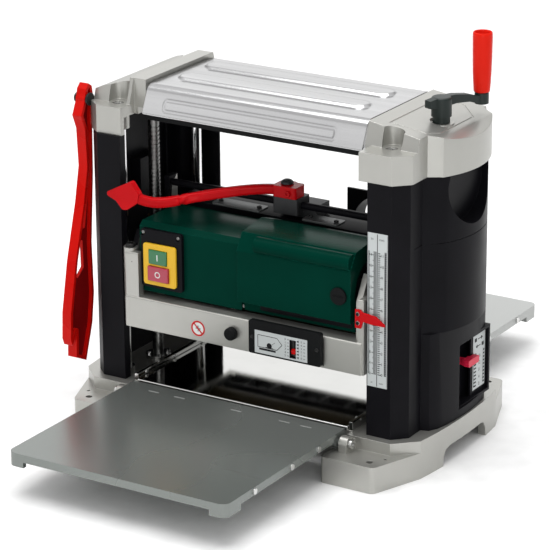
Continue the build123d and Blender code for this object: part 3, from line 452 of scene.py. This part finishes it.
# ---------------------------------------------------------------- castings, tables and covers
# How wide the rounded edges of each shown copy are, in mm.
EDGE_WIDTHS = {
    "base_casting": 1.5, "head_casting": 1.2, "right_top_bracket": 1.6, "left_top_bracket": 1.6,
    "motor_cover": 1.4, "right_side_cover": 1.2, "left_side_cover": 1.2, "infeed_table": 0.9,
    "outfeed_table": 0.9, "gauge_housing": 0.6, "switch_plate": 0.5, "switch_frame": 0.9,
    "chip_hood": 1.0, "chip_outlet": 1.2, "lock_block": 1.0, "bed_side_guides": 0.5,
    "thickness_pointer": 0.4, "crank_arm": 1.8, "lock_lever": 1.4, "rear_frame": 0.7,
    "push_stick": 0.9, "bed_plate": 0.6, "stop_slider": 0.8, "start_button": 1.2,
    "stop_button": 1.2, "stick_hook": 0.8, "bar_knob": 0.8, "brush_cap": 0.6, "cord_gland": 0.5,
}
# Nodes whose look isn't the one of their slot in the record. The outfeed table gets a lighter copy of the
# table paint, a painted reflection of the bright room behind it.
OTHER_LOOKS = {
    "chip_hood": "black_paint", "head_rods": "black_paint", "outfeed_table": "table_painted_reflection",
    "crank_arm": "crank_plastic", "stop_slider": "slider_red", "stop_button": "stop_button",
}


def dress_all():
    """Every CAD node gets its look; those with visible edges are shown by a copy with rounded edges."""
    for name, obj in NODES.items():
        obj.data.materials.clear()
        obj.data.materials.append(LOOKS[OTHER_LOOKS.get(name, SLOT_OF[name])])
    for name, width in EDGE_WIDTHS.items():
        piece = softened(name, width * MM, OTHER_LOOKS.get(name))
        if name == "push_stick":
            darken_web(piece)
        if name == "head_casting":
            darken_posts(piece)


def darken_posts(casting):
    """The head's plates are black above the motor cover, where they carry the lock's rods."""
    casting.data.materials.append(LOOKS["black_paint"])
    cover_low, cover_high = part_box("motor_cover")
    level = cover_high.z - 54 * MM
    front = cover_low.y + 10 * MM
    for polygon in casting.data.polygons:
        if polygon.center.z > level and polygon.center.y > front:
            polygon.material_index = 1


def darken_web(stick):
    """Painted shade: the recessed web of the push stick, which faces the machine, is a deeper red than its
    rim.
    """
    stick.data.materials.append(LOOKS["web_red_painted_shade"])
    low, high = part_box("push_stick")
    for polygon in stick.data.polygons:
        inside = low.x + 3 * MM < polygon.center.x < high.x - 3 * MM
        if inside and abs(polygon.normal.x) > 0.9:
            polygon.material_index = 1


# ---------------------------------------------------------------- top cover
BEAD_RISE = 3.6 * MM


def bead_height(x, y, beads, reach):
    """Height of the raised beads over the flat top: a flat crown with sloping sides and round ends."""
    height = 0.0
    for middle, half_length, center_x in beads:
        past = max(0.0, abs(x - center_x) - half_length)
        distance = math.hypot(past, y - middle)
        share = min(1.0, max(0.0, (reach - distance) / (4 * MM)))
        height = max(height, share * share * (3 - 2 * share))
    return height


def cover_line(low, high, flat_z):
    """(y, z) points of the cover's section from the front lip over the top to the rear lip."""
    half = high.y
    front = [(half, low.z), (half - 13 * MM, flat_z - 9 * MM)]
    bend = [(half - 13 * MM, flat_z - 9 * MM), (half - 17 * MM, flat_z), (half - 27 * MM, flat_z)]
    line = []
    for k in range(15):
        t = k / 15
        line.append(tuple(start + (end - start) * t for start, end in zip(*front)))
    for k in range(10):
        t = k / 10
        a, b, c = (1 - t) ** 2, 2 * t * (1 - t), t * t
        line.append(tuple(a * p + b * q + c * r for p, q, r in zip(*bend)))
    edge = bend[2][0]
    flat = [(edge - 2 * edge * k / 96, flat_z) for k in range(97)]
    rear = [(-y, z) for y, z in reversed(line)]
    return [(-y, z) for y, z in line + flat + rear]


def top_cover():
    low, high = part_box("top_cover")
    flat_z = high.z - BEAD_RISE
    line = cover_line(low, high, flat_z)
    bead_x = -6 * MM
    half_length = 133 * MM
    beads = [(y * MM, half_length, bead_x) for y in (-28, 38)]
    columns = 230
    made = bmesh.new()
    rows = []
    for k in range(columns + 1):
        x = low.x + (high.x - low.x) * k / columns
        row = []
        for y, z in line:
            raised = bead_height(x, y, beads, 17 * MM) if z > flat_z - 0.1 * MM else 0
            panel = rim_of_panel(x - bead_x, z, low.z + 8 * MM, flat_z - 17 * MM) if y < 0 else 0
            row.append(made.verts.new((x, y + panel * 0.9 * MM, z + raised * BEAD_RISE)))
        rows.append(row)
    for left, right in zip(rows, rows[1:]):
        for j in range(len(line) - 1):
            made.faces.new((left[j], right[j], right[j + 1], left[j + 1]))
    for row, order in ((rows[0], 1), (rows[-1], -1)):
        drop = [made.verts.new((v.co.x, v.co.y * 0.985, max(low.z, v.co.z - 12 * MM))) for v in row]
        for a, b in zip(range(len(row) - 1), range(1, len(row))):
            face = (row[a], row[b], drop[b], drop[a])
            made.faces.new(face if order > 0 else face[::-1])
    mesh = mesh_of(made, "cover_sheet", False)
    piece = new_piece("cover_sheet", mesh, "cover_steel", like="top_cover", smooth=50)
    skin = piece.modifiers.new("thickness", "SOLIDIFY")
    skin.thickness = 1.4 * MM
    skin.offset = -1
    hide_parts("top_cover")


def rim_of_panel(x, z, bottom, top):
    """Pressed outline of a long panel on the cover's sloping face: 1 on the line and 0 off it."""
    half_length = 134 * MM
    middle, half_height, corner = (bottom + top) / 2, (top - bottom) / 2, 4 * MM
    dx = max(0.0, abs(x) - half_length + corner)
    dz = max(0.0, abs(z - middle) - half_height + corner)
    outside = math.hypot(dx, dz) - corner
    if dx == 0 or dz == 0:
        outside = max(abs(x) - half_length, abs(z - middle) - half_height)
    return max(0.0, 1 - abs(outside) / (1.6 * MM))


# ---------------------------------------------------------------- crank handle
def crank_handle():
    low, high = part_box("crank_handle")
    middle = (low + high) / 2
    outer = (high.x - low.x) / 2
    foot, crown = low.z, high.z
    profile = [(0.72, 0.0), (0.80, 0.5), (0.835, 2.0), (0.85, 6.0), (0.90, 16.0), (0.945, 30.0),
               (0.975, 48.0), (0.995, 66.0), (1.0, 74.0), (0.985, 78.5), (0.95, 80.4), (0.90, 81.0),
               (0.84, 80.6), (0.80, 79.4),
               (0.79, 66.0), (0.01, 65.5)]
    made = bmesh.new()
    scale = (crown - foot) / (81 * MM)
    lathe(made, [(r * outer, foot + z * MM * scale) for r, z in profile], (middle.x, middle.y, 0), steps=64)
    mesh = mesh_of(made, "handle_grip")
    handle = new_piece("handle_grip", mesh, "handle_red", like="crank_handle", smooth=50)
    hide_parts("crank_handle")
    collar = bmesh.new()
    collar_at = (middle.x / MM, middle.y / MM, foot / MM - 2.0)
    lathe(collar, [(5, -1.4), (6.4, -1.0), (6.6, 0.2), (6.6, 3.0), (0.1, 3.0)], collar_at, steps=32)
    mesh = mesh_of(collar, "handle_collar")
    mesh.transform(Matrix.Scale(MM, 4))
    new_piece("handle_collar", mesh, "crank_plastic", like="crank_arm", smooth=50)


# ---------------------------------------------------------------- printed plates
def solids_of(name):
    """Boxes, in mm, of a node's separate solids, from left to right."""
    made = bmesh.new()
    made.from_mesh(NODES[name].data)
    bmesh.ops.remove_doubles(made, verts=made.verts, dist=1e-5)
    left = set(made.verts)
    boxes = []
    while left:
        group, queue = [], [left.pop()]
        while queue:
            spot = queue.pop()
            group.append(spot.co.copy())
            for link in spot.link_edges:
                other = link.other_vert(spot)
                if other in left:
                    left.remove(other)
                    queue.append(other)
        low = Vector([min(p[i] for p in group) for i in range(3)]) / MM
        high = Vector([max(p[i] for p in group) for i in range(3)]) / MM
        boxes.append((low, high))
    made.free()
    return sorted(boxes, key=lambda box: box[0].x)


def thickness_scale():
    """Two columns of ticks and digits with a divider and a hatched band."""
    low, high = solids_of("scale_labels")[0]
    ink = Print((0, low.y * MM, 0), (1, 0, 0), (0, 0, 1))
    grey = Print((0, low.y * MM, 0), (1, 0, 0), (0, 0, 1))
    divider = low.x + 0.49 * (high.x - low.x)
    ink.bar(divider - 0.5, divider + 0.5, low.z + 1, high.z - 1)
    for edge in (low.x + 0.4, high.x - 0.8):
        grey.bar(edge, edge + 0.4, low.z + 1, high.z - 1)
    bottom, top = low.z + 18, high.z - 24
    grey.bar(high.x - 4.6, high.x - 1.6, bottom, top)
    step = 1.5
    for k in range(int((top - bottom) / step) + 1):
        z = bottom + k * step
        length = 7.0 if k % 10 == 0 else 5.6 if k % 5 == 0 else 4.4
        ink.bar(divider - 1.2 - length, divider - 1.2, z - 0.42, z + 0.42)
        ink.bar(low.x + 1.2, low.x + 3.4, z - 0.42, z + 0.42)
        if k % 2 == 0:
            ink.bar(divider + 1.2, divider + 1.2 + length * 0.7, z - 0.6, z + 0.6)
            ink.bar(high.x - 4.6, high.x - 1.6, z - 0.6, z + 0.6)
        if k % 10 == 0:
            ink.text(str(k // 5 * 2), low.x + 4.2, z, 5.2)
            ink.text(str(k // 10), divider + 7.2, z, 5.4)
    ink.text("mm", divider + 6.5, high.z - 8, 5.0)
    ink.text("in", low.x + 7.0, high.z - 8, 5.0)
    ink.text("mm", divider + 6.5, low.z + 6, 4.0)
    ink.text("in", low.x + 7.0, low.z + 6, 4.0)
    ink.piece("scale_ink", "ink", "scale_labels")
    grey.piece("scale_grey", "grey_ink", "scale_labels")


def depth_scale():
    """Ticks, digits and two small arrows beside the depth stop's slider."""
    low, high = solids_of("scale_labels")[-1]
    ink = Print((high.x * MM, 0, 0), (0, 1, 0), (0, 0, 1))
    ink.bar(low.y + 1.5, low.y + 2.3, low.z + 4, high.z - 24)
    ink.bar(high.y - 6.0, high.y - 5.4, low.z + 4, high.z - 24)
    for row, way in ((high.z - 7, 1), (high.z - 17, -1)):
        start = (low.y + high.y) / 2
        ink.bar(start - way * 10 - 3, start - way * 10 + 3, row - 2.6, row + 2.6)
        tail, tip = sorted((start - way * 4, start + way * 6))
        ink.bar(tail, tip, row - 0.6, row + 0.6)
        ink.poly([(start + way * 10, row), (start + way * 5, row + 3), (start + way * 5, row - 3)][::way])
    rows = 10
    for k in range(rows):
        z = low.z + 5 + k * (high.z - low.z - 32) / (rows - 1)
        ink.bar(low.y + 2.3, low.y + 9, z - 1.1, z + 1.1)
        ink.bar(high.y - 5.4, high.y - 1.5, z - 1.1, z + 1.1)
        if k % 2 == 0:
            ink.text(str(k * 2), (low.y + high.y) / 2 + 0.5, z, 7)
    ink.piece("depth_ink", "ink", "scale_labels")


def gauge_print():
    """Line drawing of a board under a cutter, and the ticks on both sides of the window."""
    low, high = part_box("gauge_label")
    low, high = low / MM, high / MM
    ink = Print((0, low.y * MM, 0), (1, 0, 0), (0, 0, 1))
    red = Print((0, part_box("gauge_pointer")[0].y, 0), (1, 0, 0), (0, 0, 1))
    left, base = low.x + 5, low.z + 5
    frame_points = [(left, base + 4), (left, base + 21), (left + 30, base + 21), (left + 38, base + 12.5),
                    (left + 30, base + 4), (left, base + 4)]
    for start, end in zip(frame_points, frame_points[1:]):
        ink.line(start, end, 0.8)
    ink.bar(left + 2, left + 28, base, base + 2.8)
    ink.ring(left + 18, base + 7.8, 4.0, 0)
    ink.bar(left + 12, left + 24, base + 4.6, base + 5.4)
    ink.line((left + 22, base + 10), (left + 27, base + 14), 0.5)
    window_left, window_right = low.x + 54.5, low.x + 64.5
    for k in range(6):
        z = low.z + 4.5 + k * 4.6
        ink.text(str(5 - k), window_left - 6.5, z, 4.2)
        ink.bar(window_left - 3.4, window_left - 1, z - 0.35, z + 0.35)
        blunt = window_right + 4.4
        ink.poly([(blunt, z - 1.7), (blunt, z + 1.7), (window_right + 1, z)])
        ink.text(str(k), window_right + 8.5, z, 4.0)
        ink.bar(window_right + 11.5, window_right + 14.5, z - 0.3, z + 0.3)
    ink.piece("gauge_ink", "ink", "gauge_label")
    z = low.z + 11
    red.bar(window_left + 1, window_right - 1, z - 0.6, z + 0.6)
    red.piece("gauge_red", "red_ink", "gauge_pointer")


def switch_glyphs():
    low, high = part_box("start_button")
    low, high = low / MM, high / MM
    white = Print((0, low.y * MM, 0), (1, 0, 0), (0, 0, 1))
    x, z = (low.x + high.x) / 2, (low.z + high.z) / 2
    white.bar(x - 0.8, x + 0.8, z - 4.4, z + 4.4)
    white.piece("start_glyph", "white_ink", "start_button")
    low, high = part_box("stop_button")
    low, high = low / MM, high / MM
    ring = Print((0, low.y * MM, 0), (1, 0, 0), (0, 0, 1))
    ring.ring((low.x + high.x) / 2, (low.z + high.z) / 2, 4.4, 3.1)
    ring.piece("stop_glyph", "white_ink", "stop_button")


def round_sign():
    """Small generic round sticker on the head's bar: a red ring with a bar across it."""
    low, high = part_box("bar_knob")
    x, z = (low.x + high.x) / 2 / MM - 55, (low.z + high.z) / 2 / MM - 4
    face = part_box("head_casting")[0].y / MM
    plate = Print((0, face * MM, 0), (1, 0, 0), (0, 0, 1), 0.0002)
    plate.ring(x, z, 11.4, 0)
    plate.piece("sign_plate", "white_ink", "head_casting")
    mark = Print((0, face * MM, 0), (1, 0, 0), (0, 0, 1), 0.0004)
    mark.ring(x, z, 11.2, 8.7)
    mark.line((x - 6.6, z + 6.6), (x + 6.6, z - 6.6), 2.2)
    mark.piece("sign_mark", "red_ink", "head_casting")
    glyph = Print((0, face * MM, 0), (1, 0, 0), (0, 0, 1), 0.0003)
    glyph.bar(x - 4.0, x + 4.0, z - 0.8, z + 0.8)
    glyph.bar(x - 0.8, x + 0.8, z - 4.2, z + 4.2)
    glyph.piece("sign_glyph", "grey_ink", "head_casting")


# ---------------------------------------------------------------- small fittings
def small_screws():
    low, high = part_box("gauge_housing")
    for k, x in enumerate((low.x + 5.5 * MM, high.x - 5.5 * MM)):
        screw("gauge_screw_%d" % k, (x, low.y, (low.z + high.z) / 2), (0, -1, 0), 2.6 * MM, 1.0 * MM,
              like="gauge_housing", look="dark_steel")
    low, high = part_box("switch_plate")
    for k, x in enumerate((low.x + 4.5 * MM, high.x - 5 * MM)):
        screw("switch_screw_%d" % k, (x, low.y, high.z - 5 * MM), (0, -1, 0), 2.4 * MM, 0.9 * MM,
              like="switch_plate", look="screw_steel")
    cover_low, cover_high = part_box("motor_cover")
    arm_top = (cover_low.x - 14 * MM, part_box("head_casting")[0].y + 13 * MM, cover_high.z - 55 * MM)
    screw("arm_cap", arm_top, (0, 0, 1), 7 * MM, 5 * MM, like="head_casting", look="dark_steel")
    low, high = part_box("pointer_screws")
    head = 2.8 * MM
    for k, z in enumerate((low.z + head, high.z - head)):
        screw("pointer_hex_%d" % k, (low.x + head, low.y, z), (0, -1, 0), 2.5 * MM, 0.8 * MM,
              like="pointer_screws", look="ink")


SLOT_PLACES = (-122, -80, 12, 88, 122)   # slots across the table, mm from the middle
SLOT_ROW = 158                           # their row, mm from the middle of the bed


def table_dashes():
    """Pale inlays in the five short slots beside each table's hinge."""
    for name, side in (("infeed_table", -1), ("outfeed_table", 1)):
        made = bmesh.new()
        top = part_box(name)[1].z
        for x in SLOT_PLACES:
            outline = [((a + x) * MM, (b + side * SLOT_ROW) * MM) for a, b in rounded(17, 2.4, 1.1)]
            slab(made, outline, top - 1.1 * MM, top + 0.2 * MM, lambda a, b, t: (a, b, t))
        # The inlays take the lighter copy of the table paint that carries the painted reflection.
        new_piece(name + "_inlays", mesh_of(made, name + "_inlays"), "table_painted_reflection", like=name)


def cover_plates():
    """Two flat grey plates with screws behind the motor cover, on the head."""
    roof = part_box("motor_cover")[1].z
    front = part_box("chip_hood")[0].y
    for k, (x0, x1) in enumerate(((-100, -22), (44, 100))):
        made = bmesh.new()
        middle, length = (x0 + x1) / 2 * MM, (x1 - x0) * MM
        outline = [(a * MM + middle, b * MM + front - 10 * MM) for a, b in rounded(length / MM, 26, 4)]
        slab(made, outline, roof - 2.5 * MM, roof + 0.5 * MM, lambda a, b, t: (a, b, t))
        plate = new_piece("head_plate_%d" % k, mesh_of(made, "head_plate"), "plate_grey", body="head")
        bevelled(plate, 0.6 * MM)
        for j, x in enumerate((x0 + 8, x1 - 8)):
            place = (x * MM, front - 10 * MM, roof + 0.5 * MM)
            screw("plate_screw_%d%d" % (k, j), place, (0, 0, 1), 3.4 * MM, 2.2 * MM,
                  body="head", look="dark_steel")


def cover_recess():
    """Painted shade: a black band standing for the shadow in the undercut along the foot of the motor
    cover's deeper half.
    """
    low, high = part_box("motor_cover")
    center_x, center_z = high.x - 73.5 * MM, low.z + 10 * MM
    face = low.y + 13.7 * MM
    made = bmesh.new()
    slab(made, rounded(143, 9.6, 2), face, face + 2 * MM,
         lambda a, b, t: (center_x + a * MM, t, center_z + b * MM))
    new_piece("cover_recess", mesh_of(made, "cover_recess"), "black_paint", like="motor_cover")


# ---------------------------------------------------------------- the scene
bpy.context.scene.view_settings.view_transform = "Standard"
add_camera()
add_world(0.16, 0.95)
add_floor()
add_light("overhead", (-0.1, -0.3, 3.0), (0, 0, 0), (2.4, 2.6), 66)
add_light("back_wall", (-1.9, 3.1, 1.5), (0, 0, 0.4), (3.8, 2.2), 20)
add_light("near_camera", (1.9, -2.6, 0.75), (0, 0, 0.25), (0.9, 0.9), 13)
add_light("left_front", (-2.4, -3.0, 1.7), (0, 0, 0.2), (2.4, 1.6), 7)
dress_all()
top_cover()
crank_handle()
thickness_scale()
depth_scale()
gauge_print()
switch_glyphs()
round_sign()
small_screws()
table_dashes()
cover_plates()
cover_recess()
